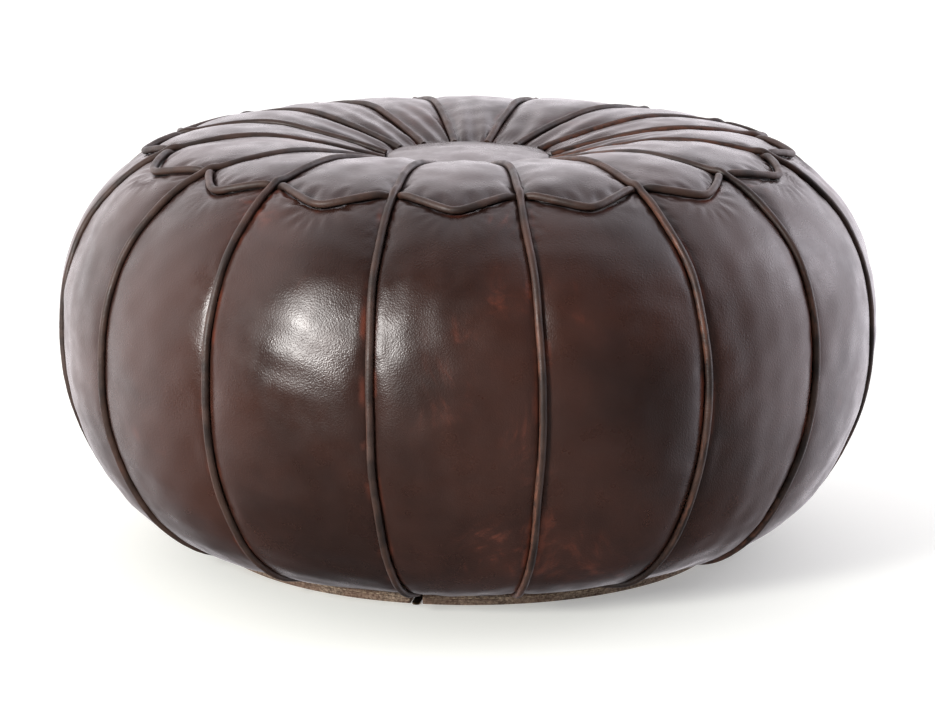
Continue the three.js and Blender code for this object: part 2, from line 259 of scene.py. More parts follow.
def finer(grid):
    """A grid of points with one more point between each two, on smooth curves."""
    for _ in range(2):
        count = len(grid)
        fine = np.empty((2 * count - 1, *grid.shape[1:]))
        fine[::2] = grid
        inner = (9 * (grid[1:-2] + grid[2:-1]) - grid[:-3] - grid[3:]) / 16
        fine[3:-3:2] = inner
        fine[1] = (3 * grid[0] + 6 * grid[1] - grid[2]) / 8
        fine[-2] = (3 * grid[-1] + 6 * grid[-2] - grid[-3]) / 8
        grid = np.swapaxes(fine, 0, 1)
    return grid


# ---------------------------------------------------------------- leather pressed out by filling

CLOTH_FRAMES = 16
CLOTH_REACH = 0.006             # the furthest that the filling moves the leather
SPARE_FROM, SPARE_FULL = 0.39, 0.45  # seam lengths between which the petals gain spare leather


def pressed_out(panels):
    """The panels' grids, swollen by the filling with all their edges sewn down."""
    shapes = [panel.shape() for panel in panels]
    faces, sewn, spare, first = [], [], [], 0
    for panel, shape in zip(panels, shapes):
        rows, columns = shape.shape[:2]
        edge = np.ones((rows, columns), bool)
        edge[1:-1, 1:-1] = False
        faces.append(grid_faces(rows, columns, first))
        sewn.extend(int(i) for i in first + np.flatnonzero(edge))
        spare.extend(smoothstep(panel.along, SPARE_FROM, SPARE_FULL).ravel())
        first += rows * columns
    start = np.vstack([shape.reshape(-1, 3) for shape in shapes])
    cover = make_object("cover_on_the_filling", start, np.vstack(faces))
    cover.vertex_groups.new(name="sewn").add(sewn, 1.0, "REPLACE")
    loose = cover.vertex_groups.new(name="spare")
    for number, amount in enumerate(spare):
        loose.add([number], float(amount), "REPLACE")
    cloth = cover.modifiers.new("filling", "CLOTH")
    settings = cloth.settings
    settings.quality = 6
    settings.mass = 0.3
    settings.air_damping = 4
    settings.tension_stiffness = 40
    settings.compression_stiffness = 40
    settings.shear_stiffness = 20
    settings.bending_stiffness = 3
    settings.shrink_min = 0.0
    settings.shrink_max = -0.02
    settings.vertex_group_shrink = "spare"
    settings.vertex_group_mass = "sewn"
    settings.use_pressure = True
    settings.uniform_pressure_force = 300
    settings.effector_weights.gravity = 0
    cloth.collision_settings.use_collision = False
    cloth.point_cache.frame_start = 1
    cloth.point_cache.frame_end = CLOTH_FRAMES
    scene = bpy.context.scene
    for number in range(1, CLOTH_FRAMES + 1):
        scene.frame_set(number)
    applied(cover)
    moved = np.empty(start.size, np.float32)
    cover.data.vertices.foreach_get("co", moved)
    bpy.data.objects.remove(cover)
    scene.frame_set(1)
    step = moved.reshape(-1, 3) - start
    length = np.linalg.norm(step, axis=1)[:, None]
    capped = CLOTH_REACH * np.tanh(length / CLOTH_REACH) / np.maximum(length, 1e-9)
    swollen = start + step * capped
    counts = np.cumsum([shape.shape[0] * shape.shape[1] for shape in shapes])[:-1]
    return [part.reshape(shape.shape) for part, shape in zip(np.split(swollen, counts), shapes)]


def ripples(x, y, wavelength, seed, count=7):
    """A gentle random swell of about unit height over a surface."""
    draw = np.random.default_rng(seed)
    total = np.zeros(np.broadcast(x, y).shape)
    for _ in range(count):
        heading, phase = draw.uniform(0, 2 * math.pi, 2)
        wave = 2 * math.pi / (wavelength * draw.uniform(0.7, 1.6))
        total += np.sin(wave * (x * math.cos(heading) + y * math.sin(heading)) + phase)
    return total / math.sqrt(count)


def tip_creases(panel, x, along):
    """Creases that spread down from the tip of the petal above."""
    draw = np.random.default_rng(SEED + 100 + panel.index)
    down = TIP_AT + 0.006 - along
    turn = np.arctan2(x, down)
    reach = np.hypot(x, down)
    fan = np.sin(draw.uniform(15, 21) * turn + draw.uniform(0, 6)
                 + 1.5 * np.sin(3 * turn + draw.uniform(0, 6)))
    fades = np.exp(-((reach - 0.021) / 0.0085) ** 2) * (down > 0)
    return 0.00045 * draw.uniform(0.3, 1.5) * fan * fades


def well_folds(panel, x, along):
    """Folds that gather towards the disc."""
    draw = np.random.default_rng(SEED + 200 + panel.index)
    deep = smoothstep(along, 0.41, 0.51)
    skew = draw.uniform(-0.25, 0.25) * (along - 0.48)
    fold = np.sin((x + skew) * 2 * math.pi / draw.uniform(0.014, 0.022) + draw.uniform(0, 6))
    return 0.0007 * draw.uniform(0.3, 1.3) * deep * fold


def sewn_details(panel, points, across, along):
    """Moves a fine grid along its normals by the creases, puckers and swells of sewn leather."""
    width = along_seam(SEAM[:, 0], along) * PITCH
    x = (across - 0.5) * width
    to_side = width * np.minimum(across, 1 - across)
    to_zigzag = np.abs(along - zigzag(across))
    inside = smoothstep(to_side, 0.001, 0.014) * smoothstep(to_zigzag, 0.001, 0.010)
    inside *= smoothstep(along, 0.0, 0.03)
    seed = SEED + 10 * panel.index + (panel.kind == "petal")
    lift = 0.0006 * ripples(x, along, 0.09, seed) * inside
    lift += 0.00022 * ripples(x, along, 0.028, seed + 1000) * inside
    near = np.exp(-((to_side - 0.006) / 0.004) ** 2)
    pucker = ripples(along, 0.3 * x, 0.011, seed + 2000)
    lift += 0.00013 * near * pucker
    if panel.kind == "gore":
        lift += tip_creases(panel, x, along)
    else:
        lift += well_folds(panel, x, along) * smoothstep(to_side, 0.001, 0.006)
        lift *= smoothstep(SEAM_LENGTH - along, 0.0, 0.008)
    run_up = np.gradient(points, axis=0)
    run_right = np.gradient(points, axis=1)
    normal = np.cross(run_right, run_up)
    normal /= np.maximum(np.linalg.norm(normal, axis=-1), 1e-12)[..., None]
    return points + normal * lift[..., None]


def sew_panel(panel, grid, name, finish):
    """The finished leather panel: a fine closed shell with its own edge and place numbers."""
    across, along = finer(panel.across), finer(panel.along)
    points = sewn_details(panel, finer(grid), across, along)
    rows, columns = across.shape
    made = make_object(name, points.reshape(-1, 3), grid_faces(rows, columns))
    width = along_seam(SEAM[:, 0], along) * PITCH
    give(made, "to_side", width * np.minimum(across, 1 - across))
    give(made, "to_zigzag", np.abs(along - zigzag(across)))
    give(made, "sideways", (across - 0.5) * width)
    give(made, "upwards", along)
    thickness = made.modifiers.new("leather", "SOLIDIFY")
    thickness.thickness = LEATHER
    thickness.offset = -1
    applied(made)
    shade_smooth(made)
    made.data.materials.append(finish)
    return made


def sew_cover(wall_finish, petal_finish):
    panels = [Panel("gore", index, 22, 60) for index in range(LOBES)]
    panels += [Panel("petal", index, 22, 30) for index in range(LOBES)]
    for panel, grid in zip(panels, pressed_out(panels)):
        number = f"{panel.index + 1:02d}"
        if panel.kind == "gore":
            made = sew_panel(panel, grid, f"gore_leather_{number}", wall_finish)
            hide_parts(f"wall_gore_{number}")
        else:
            made = sew_panel(panel, grid, f"petal_leather_{number}", petal_finish)
            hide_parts(f"petal_{number}")
        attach(made, "pouf")


# ---------------------------------------------------------------- node groups for repeated things

class Tree:
    """A geometry node tree with one input geometry and named inputs for its sizes."""

    def __init__(self, name, **sizes):
        self.tree = bpy.data.node_groups.new(name, "GeometryNodeTree")
        self.tree.interface.new_socket("Geometry", in_out="INPUT", socket_type="NodeSocketGeometry")
        for size, value in sizes.items():
            kind = "NodeSocketInt" if isinstance(value, int) else "NodeSocketFloat"
            socket = self.tree.interface.new_socket(size, in_out="INPUT", socket_type=kind)
            socket.default_value = value
        self.tree.interface.new_socket("Finish", in_out="INPUT", socket_type="NodeSocketMaterial")
        self.tree.interface.new_socket("Geometry", in_out="OUTPUT", socket_type="NodeSocketGeometry")
        self.given = self.tree.nodes.new("NodeGroupInput").outputs

    def node(self, kind, inputs=None, output=0, **settings):
        made = self.tree.nodes.new(kind)
        for name, value in settings.items():
            setattr(made, name, value)
        shown = [socket for socket in made.inputs if socket.enabled]
        for key, value in (inputs or {}).items():
            socket = shown[key] if isinstance(key, int) else next(s for s in shown if s.name == key)
            if isinstance(value, bpy.types.NodeSocket):
                self.tree.links.new(value, socket)
            else:
                socket.default_value = value
        shown = [socket for socket in made.outputs if socket.enabled]
        return shown[output] if isinstance(output, int) else next(
            s for s in shown if s.name == output)

    def math(self, operation, *values):
        return self.node("ShaderNodeMath", dict(enumerate(values)), operation=operation)

    def end(self, geometry):
        real = self.node("GeometryNodeRealizeInstances", {"Geometry": geometry})
        smooth = self.node("GeometryNodeSetShadeSmooth", {"Geometry": real})
        finished = self.node("GeometryNodeSetMaterial",
                             {"Geometry": smooth, "Material": self.given["Finish"]})
        out = self.tree.nodes.new("NodeGroupOutput")
        self.tree.links.new(finished, out.inputs["Geometry"])
        return self


def grow(made, tree, finish, **sizes):
    """Runs a node tree on an object and keeps the result as a plain mesh object."""
    modifier = made.modifiers.new("grown", "NODES")
    modifier.node_group = tree.tree
    for item in tree.tree.interface.items_tree:
        if item.in_out == "INPUT" and item.name in sizes:
            modifier[item.identifier] = sizes[item.name]
        if item.in_out == "INPUT" and item.name == "Finish":
            modifier[item.identifier] = finish
    depsgraph = bpy.context.evaluated_depsgraph_get()
    plain = bpy.data.meshes.new_from_object(made.evaluated_get(depsgraph))
    name = made.name
    bpy.data.objects.remove(made)
    grown = bpy.data.objects.new(name, plain)
    bpy.context.scene.collection.objects.link(grown)
    return grown


def curve_object(name, routes):
    """Open poly curves through the given points."""
    curve = bpy.data.curves.new(name, "CURVE")
    curve.dimensions = "3D"
    for route in routes:
        spline = curve.splines.new("POLY")
        spline.points.add(len(route) - 1)
        spline.points.foreach_set("co", np.c_[route, np.ones(len(route))].ravel())
    made = bpy.data.objects.new(name, curve)
    bpy.context.scene.collection.objects.link(made)
    return made


def piping_tree():
    """A cord wrapped in leather along each curve, a little lumpy, with closed ends."""
    t = Tree("corded_piping", Radius=PIPING_RADIUS, Step=0.0016, Sides=18, Lumps=0.00025, Seed=3)
    even = t.node("GeometryNodeResampleCurve", {"Curve": t.given["Geometry"],
                                                "Length": t.given["Step"]}, mode="LENGTH")
    ring = t.node("GeometryNodeCurvePrimitiveCircle",
                  {"Resolution": t.given["Sides"], "Radius": t.given["Radius"]})
    tube = t.node("GeometryNodeCurveToMesh",
                  {"Curve": even, "Profile Curve": ring, "Fill Caps": True})
    noise = t.node("ShaderNodeTexNoise", {"W": t.given["Seed"], "Scale": 110.0, "Detail": 2.0},
                   output=0, noise_dimensions="4D")
    swell = t.math("MULTIPLY", t.math("SUBTRACT", noise, 0.5), t.given["Lumps"])
    normal = t.node("GeometryNodeInputNormal")
    push = t.node("ShaderNodeVectorMath", {0: normal, "Scale": t.math("MULTIPLY", swell, 2.0)},
                  operation="SCALE")
    lumpy = t.node("GeometryNodeSetPosition", {"Geometry": tube, "Offset": push})
    return t.end(lumpy)


def radial_route(index):
    along = np.linspace(0.003, SEAM_LENGTH, 260)
    lift = PIPING_LIFT - 0.0004 * smoothstep(along, SEAM_LENGTH - 0.010, SEAM_LENGTH)
    lift += 0.0018 * np.exp(-((along - VALLEY_AT) / 0.006) ** 2)
    sway = 0.0006 * ripples(along, along * 0, 0.07, SEED + 300 + index)
    radius = along_seam(SEAM[:, 0], along)
    return on_pouf(seam_azimuth(index, along) + sway / radius, along, lift)


def mark_sides(cord):
    """Tells each point of a piping how far it lies to the side of its seam, and how far along."""
    points = np.empty(len(cord.data.vertices) * 3, np.float32)
    cord.data.vertices.foreach_get("co", points)
    points = points.reshape(-1, 3)
    outline = np.c_[np.hypot(points[:, 0], points[:, 1]), points[:, 2]]
    nearest = [np.argmin(((SEAM - place) ** 2).sum(1)) for place in outline]
    along = SEAM_RUN[nearest]
    turn = (np.arctan2(points[:, 0], -points[:, 1]) - FIRST_SEAM) / PITCH
    index = np.round(turn).astype(int)
    middle = np.array([seam_azimuth(k, a) for k, a in zip(index, along)])
    off = (turn * PITCH + FIRST_SEAM - middle + math.pi) % (2 * math.pi) - math.pi
    give(cord, "sideways", off * outline[:, 0])
    give(cord, "upwards", along)


def zigzag_route(index):
    across = np.linspace(0.0, 1.0, 120)
    along = zigzag(across)
    azimuth = panel_azimuth(index, along, across)
    width = along_seam(SEAM[:, 0], along) * PITCH
    to_side = width * np.minimum(across, 1 - across)
    lift = crown(along, across) + ZIGZAG_LIFT - 0.0035 * np.exp(-(to_side / 0.005) ** 2)
    return on_pouf(azimuth, along, lift)


def sew_pipings(finish):
    tree = piping_tree()
    for index in range(LOBES):
        number = f"{index + 1:02d}"
        cord = curve_object(f"piping_leather_{number}", [radial_route(index)])
        cord = grow(cord, tree, finish, Seed=index)
        mark_sides(cord)
        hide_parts(f"seam_piping_{number}")
        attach(cord, "pouf")
    cord = curve_object("petal_piping_leather", [zigzag_route(index) for index in range(LOBES)])
    cord = grow(cord, tree, finish, Seed=77, Step=0.0012, Lumps=0.00025)
    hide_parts("petal_piping")
    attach(cord, "pouf")


# ---------------------------------------------------------------- round pieces

def turned(name, outline, segments, finish, rough=0.0, seed=0):
    """A closed piece turned about the axis from an outline that starts and ends on it."""
    outline = np.asarray(outline)
    turn = np.linspace(0, 2 * math.pi, segments, endpoint=False)
    inner = outline[1:-1]
    radius, height = inner[:, 0][:, None], inner[:, 1][:, None]
    x, y = radius * np.sin(turn), -radius * np.cos(turn)
    z = np.broadcast_to(height, x.shape).copy()
    if rough:
        z += rough * ripples(x, y, 0.03, seed) * (radius > 0)
    points = np.vstack([np.stack([x, y, z], -1).reshape(-1, 3),
                        [[0, 0, outline[0, 1]], [0, 0, outline[-1, 1]]]])
    faces = [tuple(f) for f in grid_faces(len(inner), segments, wrap=True)]
    low, high = len(points) - 2, len(points) - 1
    last = (len(inner) - 1) * segments
    for i in range(segments):
        after = (i + 1) % segments
        faces.append((low, after, i))
        faces.append((high, last + i, last + after))
    made = make_object(name, points, faces)
    shade_smooth(made)
    made.data.materials.append(finish)
    return made


def disc_outline():
    radii = np.linspace(0, DISC_RADIUS - 0.002, 22)
    top = DISC_EDGE_Z + 0.0012 + DISC_DOME * (1 - (radii / DISC_RADIUS) ** 2)
    rolled = [(DISC_RADIUS - 0.0002, DISC_EDGE_Z - 0.0002), (DISC_RADIUS + 0.0008, DISC_EDGE_Z - 0.004)]
    under = [(DISC_RADIUS - 0.001, DISC_EDGE_Z - 0.0046), (DISC_RADIUS - 0.003, DISC_EDGE_Z - 0.0030)]
    below = np.c_[radii, top - LEATHER]
    return np.vstack([below, under[::-1], rolled[::-1], np.c_[radii, top][::-1]])


def seat_disc(finish):
    made = turned("seat_disc_leather", disc_outline(), 128, finish, rough=0.0003, seed=SEED)
    points = np.array([v.co for v in made.data.vertices])
    give(made, "to_side", np.full(len(points), 0.05))
    give(made, "to_zigzag", DISC_RADIUS - np.hypot(points[:, 0], points[:, 1]))
    give(made, "sideways", points[:, 0])
    give(made, "upwards", points[:, 1])
    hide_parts("top_disc")
    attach(made, "pouf")


# ---------------------------------------------------------------- base and zip

def turned_to_zip(points):
    """Points drawn with the zip along Y, turned to where the zip lies."""
    return np.asarray(points) @ np.array(Matrix.Rotation(ZIP_AZIMUTH, 3, "Z")).T


def closed(made, finish):
    """Merges a closed shape's doubles and faces it outwards."""
    shape = bmesh.new()
    shape.from_mesh(made.data)
    bmesh.ops.remove_doubles(shape, verts=shape.verts, dist=1e-6)
    bmesh.ops.recalc_face_normals(shape, faces=shape.faces)
    shape.to_mesh(made.data)
    shape.free()
    shade_smooth(made)
    made.data.materials.append(finish)
    return made


def on_base(made, slot, *nodes):
    if nodes:
        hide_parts(*nodes)
    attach(made, "pouf")


def suede_edge(finish):
    """The raw suede band under the wall, open at the front for the zip's pull."""
    height = np.linspace(0, 1, 9)
    face = np.c_[BASE_FLOOR + (BASE_TOP - BASE_FLOOR) * height ** 0.8, BASE_HEIGHT * height]
    back = [(BASE_TOP - 0.004, BASE_HEIGHT + 0.0008), (BASE_TOP - 0.012, BASE_HEIGHT),
            (BASE_INNER, BASE_HEIGHT - 0.0006), (BASE_INNER, 0.003), (BASE_INNER + 0.0006, 0.0)]
    section = np.vstack([face, back])
    around = 900
    opening = math.asin(PULL_OPENING / BASE_FLOOR)
    turn = np.linspace(opening, 2 * math.pi - opening, around)[:, None]
    draw = np.random.default_rng(SEED + 5)
    fray = draw.normal(0, 0.00022, (around, len(section)))
    fray += 0.0005 * ripples(turn * BASE_FLOOR, section[:, 1] * 2, 0.02, SEED + 6)
    fray *= (section[:, 1] > 0.0002) & (section[:, 0] > BASE_INNER + 0.01)
    radius = section[:, 0] + fray
    points = np.stack([radius * np.sin(turn), -radius * np.cos(turn),
                       np.broadcast_to(section[:, 1], radius.shape)], -1)
    count = len(section)
    faces = [tuple(f) for f in grid_faces(around, count, wrap=True)]
    faces.append(tuple(range(count)))
    faces.append(tuple((around - 1) * count + i for i in range(count)))
    made = make_object("suede_edge", turned_to_zip(points.reshape(-1, 3)), faces)
    on_base(closed(made, finish), "suede_base", "base_welt")


def suede_half(side, finish):
    radius = BASE_INNER - 0.0004
    reach = math.sqrt(radius ** 2 - SLOT_HALF ** 2) * 0.999
    y = reach * np.sin(np.linspace(-math.pi / 2, math.pi / 2, 90))[:, None]
    x = SLOT_HALF + (np.sqrt(radius ** 2 - y ** 2) - SLOT_HALF) * np.linspace(0, 1, 50)
    y = np.broadcast_to(y, x.shape)
    z = HALF_Z + 0.0006 * ripples(x, y, 0.06, SEED + 7 + side) * smoothstep(x, 0.012, 0.03)
    points = np.stack([side * x, y, z], -1).reshape(-1, 3)
    made = make_object("suede_" + ("right" if side > 0 else "left"), turned_to_zip(points),
                       grid_faces(*x.shape))
    sheet = made.modifiers.new("suede", "SOLIDIFY")
    sheet.thickness = 0.0014
    sheet.offset = -side
    applied(made)
    on_base(closed(made, finish), "suede_base", "base_half_" + ("right" if side > 0 else "left"))


def zip_tape(side, finish):
    x, y = np.meshgrid(np.linspace(TAPE[0], TAPE[1], 14), np.linspace(-ZIP_HALF, ZIP_HALF, 160))
    z = TAPE[2] + 0.0004 + 0.0001 * ripples(x, y, 0.012, SEED + 9)
    points = np.stack([side * x, y, z], -1).reshape(-1, 3)
    word = "right" if side > 0 else "left"
    made = make_object("zip_tape_woven_" + word, turned_to_zip(points), grid_faces(*x.shape))
    sheet = made.modifiers.new("tape", "SOLIDIFY")
    sheet.thickness = 0.0007
    sheet.offset = -side
    applied(made)
    on_base(closed(made, finish), "zip_tape", "zip_half_" + word)


def bead_tree(name, pitch, long, thick, wide):
    """Rounded beads in a row along each curve: stitches, or the turns of a zip's coil."""
    t = Tree(name, Pitch=pitch, Long=long, Thick=thick, Wide=wide)
    points = t.node("GeometryNodeCurveToPoints",
                    {"Curve": t.given["Geometry"], "Length": t.given["Pitch"]}, mode="LENGTH")
    bead = t.node("GeometryNodeMeshUVSphere", {"Segments": 8, "Rings": 5, "Radius": 0.5})
    size = t.node("ShaderNodeCombineXYZ",
                  {"X": t.given["Thick"], "Y": t.given["Wide"], "Z": t.given["Long"]})
    bead = t.node("GeometryNodeTransform", {"Geometry": bead, "Scale": size})
    row = t.node("GeometryNodeInstanceOnPoints",
                 {"Points": points, "Instance": bead, "Rotation": points.node.outputs["Rotation"]})
    return t.end(row)


def zip_coils(finish):
    tree = bead_tree("zip_coil", 0.0015, 0.0011, 0.0030, 0.0030)
    x, z = COIL_AT
    for side, word in ((-1, "left"), (1, "right")):
        line = [(side * x, y, z) for y in np.linspace(-ZIP_HALF + 0.001, ZIP_HALF - 0.001, 3)]
        coil = grow(curve_object("zip_coil_" + word, [turned_to_zip(line)]), tree, finish)
        on_base(coil, "zip_tape")


def base_stitches(finish):
    """Thread along the top of the suede band and beside the zip."""
    tree = bead_tree("base_stitch", STITCH_PITCH, 0.0034, 0.0008, 0.0008)
    turn = np.linspace(0.06, 2 * math.pi - 0.06, 720)
    radius = BASE_TOP - 0.0002
    ring = np.c_[radius * np.sin(turn), -radius * np.cos(turn), np.full(720, BASE_HEIGHT - 0.0019)]
    rows = [turned_to_zip(ring)]
    x, reach, z = ZIP_STITCH_AT
    for side in (-1, 1):
        y = np.linspace(-reach, reach, 48)
        rows.append(turned_to_zip(np.c_[np.full(48, side * x), y, np.full(48, z)]))
    made = grow(curve_object("base_thread", rows), tree, finish)
    on_base(made, "suede_base")


# ---------------------------------------------------------------- inside

def inside_outline(inset, floor_z, start_radius):
    along = np.linspace(0.008, SEAM_LENGTH - 0.004, 60)
    radius = along_seam(SEAM[:, 0], along) - along_seam(SEAM_NORMAL[:, 0], along) * inset
    height = along_seam(SEAM[:, 1], along) - along_seam(SEAM_NORMAL[:, 1], along) * inset
    floor = [(r, floor_z) for r in np.linspace(start_radius, 0.15, 8)]
    crest = [(r, DISC_EDGE_Z - inset) for r in (0.04, 0.02)]
    return np.vstack([floor, np.c_[radius, height], crest, [(0.0, DISC_EDGE_Z - inset)]])


def calico_bag(finish):
    """The liner: a bag of calico, gathered round its mouth above the zip."""
    outline = inside_outline(BAG_INSET, BAG_FLOOR, BAG_MOUTH)
    turn = np.linspace(0, 2 * math.pi, 192, endpoint=False)
    radius, height = outline[:-1, 0][:, None], outline[:-1, 1][:, None]
    gather = 0.0005 * np.sin(turn * 48) * np.exp(-((radius - BAG_MOUTH) / 0.03) ** 2)
    x, y = radius * np.sin(turn), -radius * np.cos(turn)
    z = height + gather + 0.0004 * ripples(x, y, 0.05, SEED + 21)
    points = np.vstack([np.stack([x, y, z], -1).reshape(-1, 3), [[0, 0, outline[-1, 1]]]])
    rows = len(outline) - 1
    faces = [tuple(f) for f in grid_faces(rows, 192, wrap=True)]
    last = (rows - 1) * 192
    faces += [(len(points) - 1, last + i, last + (i + 1) % 192) for i in range(192)]
    made = make_object("calico_bag", points, faces)
    cloth = made.modifiers.new("calico", "SOLIDIFY")
    cloth.thickness = 0.0008
    cloth.offset = -1
    applied(made)
    on_base(closed(made, finish), "lining", "filling_bag")


def fibre_filling(finish):
    inner = inside_outline(FILL_INSET, FILL_FLOOR, 0.02)
    made = turned("fibre_filling", np.vstack([[(0, FILL_FLOOR)], inner]), 160, finish,
                  rough=0.0009, seed=SEED + 22)
    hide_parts("filling")
    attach(made, "pouf")


# ---------------------------------------------------------------- finishes

class Wire:
    """A socket of a finish, on which arithmetic adds Math nodes."""

    def __init__(self, finish, socket):
        self.finish, self.socket = finish, socket

    def _math(self, operation, *values):
        return self.finish.node("Math", dict(enumerate(values)), operation=operation)

    def __add__(self, other):
        return self._math("ADD", self, other)

    def __sub__(self, other):
        return self._math("SUBTRACT", self, other)

    def __rsub__(self, other):
        return self._math("SUBTRACT", other, self)

    def __mul__(self, other):
        return self._math("MULTIPLY", self, other)

    __radd__, __rmul__ = __add__, __mul__


class Finish:
    """A material made of nodes, for one finish of the pouf."""

    def __init__(self, name, kept_in=bpy.data.materials):
        self.material = kept_in.new(name)
        self.material.use_nodes = True
        self.tree = self.material.node_tree
        self.tree.nodes.clear()

    def node(self, kind, inputs=None, output=0, **settings):
        """Adds a node: its settings first, then its sockets' values or links, by name or place."""
        made = self.tree.nodes.new("ShaderNode" + kind)
        for name, value in settings.items():
            setattr(made, name, value)
        shown = [socket for socket in made.inputs if socket.enabled]
        for key, value in (inputs or {}).items():
            socket = shown[key] if isinstance(key, int) else next(s for s in shown if s.name == key)
            if isinstance(value, Wire):
                self.tree.links.new(value.socket, socket)
            elif socket.type == "RGBA" and len(value) == 3:
                socket.default_value = (*value, 1.0)
            else:
                socket.default_value = value
        shown = [socket for socket in made.outputs if socket.enabled]
        wanted = shown[output] if isinstance(output, int) else next(
            s for s in shown if s.name == output)
        return Wire(self, wanted)

    def place(self):
        return self.node("TexCoord", output="Object")

    def number(self, name):
        return self.node("Attribute", output="Fac", attribute_name=name)

    def vector(self, x, y, z=0.0):
        return self.node("CombineXYZ", {0: x, 1: y, 2: z})

    def noise(self, where, scale, detail=3.0, rough=0.55):
        return self.node("TexNoise", {"Vector": where, "Scale": scale, "Detail": detail,
                                      "Roughness": rough})

    def span(self, value, low, high, to_low=0.0, to_high=1.0):
        """Where value lies between low and high, eased, as a number between two others."""
        return self.node("MapRange", {"Value": value, "From Min": low, "From Max": high,
                                      "To Min": to_low, "To Max": to_high},
                         interpolation_type="SMOOTHSTEP")

    def blend(self, factor, first, second):
        return self.node("Mix", {"Factor": factor, "A": first, "B": second}, data_type="RGBA",
                         output="Result")

    def bump(self, height, distance):
        return self.node("Bump", {"Height": height, "Distance": distance, "Strength": 1.0})

    def done(self, **inputs):
        """Ends in the shader; an input's name has _ for its spaces."""
        named = {name.replace("_", " "): value for name, value in inputs.items()}
        shader = self.node("BsdfPrincipled", named)
        self.tree.links.new(shader.socket, self.tree.nodes.new("ShaderNodeOutputMaterial").inputs[0])
        return self.material


def burnished_leather(name, dark, brown, red, roughness):
    """Waxed leather: cloudy brown, redder in streaks and beside the seams, with a pebbled grain, and
    painted shade darkening it in the crevices beside the seams, the zig-zag and the disc's rim.
    """
    f = Finish(name)
    place = f.place()
    side, zigzag_far = f.number("to_side"), f.number("to_zigzag")
    flat = f.vector(f.number("sideways"), f.number("upwards") * 0.3, f.noise(place, 3.0))
    clouds = f.span(f.noise(place, 8.0, 4.0), 0.34, 0.68)
    streaks = f.span(f.noise(flat, 75.0, 6.0, 0.65), 0.46, 0.74)
    patches = f.span(f.noise(place, 11.0, 3.0), 0.50, 0.72)
    rubbed = f.span(f.noise(place, 30.0, 3.0), 0.46, 0.68)
    beside = f.span(side, 0.0026, 0.0075, 1.0, 0.0) * rubbed
    below = f.span(zigzag_far, 0.0026, 0.010, 1.0, 0.0) * rubbed
    reddish = streaks * patches * 0.7 + patches * 0.22 + (beside + below * 0.8) * 0.85
    colour = f.blend(clouds, dark, brown)
    colour = f.blend(f.span(reddish, 0.0, 1.0), colour, red)
    # Painted shade: the colour falls to near black in the crevices beside the pipings, under the
    # zig-zag cord and round the seat disc's rim, where shade falls.
    painted_crevice_shade = f.span(side, 0.0003, 0.0030, 0.2, 1.0) * f.span(zigzag_far, 0.0003, 0.0030, 0.2, 1.0)
    colour = f.blend(painted_crevice_shade, (0.006, 0.0035, 0.0028), colour)
    grain = f.node("TexVoronoi", {"Vector": place, "Scale": 920.0, "Smoothness": 0.7},
                   feature="SMOOTH_F1", output="Distance")
    height = grain + f.noise(place, 800.0, 1.0) * 0.7
    wax = f.noise(place, 22.0) * 0.5 + f.noise(place, 62.0, 3.0) * 0.5
    sheen = f.span(wax, 0.38, 0.62, roughness - 0.04, roughness + 0.07)
    return f.done(Base_Color=colour, Roughness=sheen, Normal=f.bump(height, 0.00009))


def piping_leather():
    """The strip round the cord: duller, rubbed to orange along one side here and there."""
    f = Finish("piping_leather")
    place = f.place()
    side, run = f.number("sideways"), f.number("upwards")
    ragged = f.noise(f.vector(side * 2.0, run * 0.25), 420.0, 4.0, 0.65)
    worn_places = f.span(f.noise(place, 9.0, 3.0), 0.46, 0.62)
    left = f.span(side, -0.0006, -0.0022)
    rubbed = worn_places * left * f.span(ragged, 0.36, 0.62)
    clouds = f.span(f.noise(place, 50.0, 3.0), 0.35, 0.65)
    colour = f.blend(clouds, (0.020, 0.0105, 0.0076), (0.050, 0.025, 0.0175))
    colour = f.blend(f.span(f.noise(place, 17.0), 0.52, 0.72) * 0.5, colour, (0.085, 0.034, 0.021))
    colour = f.blend(rubbed, colour, (0.135, 0.050, 0.028))
    wrinkle = f.noise(f.vector(side * 60.0, run * 420.0), 1.0, 3.0)
    height = wrinkle * 0.8 + f.noise(place, 800.0) * 0.8
    rough = f.span(f.noise(place, 90.0), 0.3, 0.7, 0.44, 0.60)
    return f.done(Base_Color=colour, Roughness=rough, Normal=f.bump(height, 0.00026))


def raw_suede():
    """The flesh side and cut edges of the leather: fibrous, tan and red-brown."""
    f = Finish("raw_suede")
    place = f.place()
    nap = f.noise(place, 560.0, 5.0, 0.7)
    layers = f.noise(f.node("VectorMath", {0: place, 1: (60.0, 60.0, 900.0)},
                            operation="MULTIPLY"), 1.0, 3.0)
    tan = f.blend(f.span(nap, 0.34, 0.66), (0.080, 0.051, 0.036), (0.36, 0.27, 0.20))
    colour = f.blend(f.span(f.noise(place, 45.0), 0.42, 0.64) * 0.4, tan, (0.16, 0.078, 0.052))
    colour = f.blend(f.span(layers, 0.5, 0.62) * 0.5, colour, (0.07, 0.035, 0.024))
    return f.done(Base_Color=colour, Roughness=0.95, Normal=f.bump(nap + layers, 0.0006))


def woven(name, colour, lighter, pitch):
    """Plain weave: two crossed sets of threads."""
    f = Finish(name)
    place = f.place()
    across = f.node("TexWave", {"Vector": place, "Scale": 1 / pitch / 6.3, "Distortion": 0.3},
                    bands_direction="X", output="Fac")
    along = f.node("TexWave", {"Vector": place, "Scale": 1 / pitch / 6.3, "Distortion": 0.3},
                   bands_direction="Y", output="Fac")
    weave = across * along
    tone = f.blend(f.span(weave + f.noise(place, 30.0) * 0.5, 0.2, 1.1), colour, lighter)
    return f.done(Base_Color=tone, Roughness=0.9, Normal=f.bump(weave, pitch * 0.3))


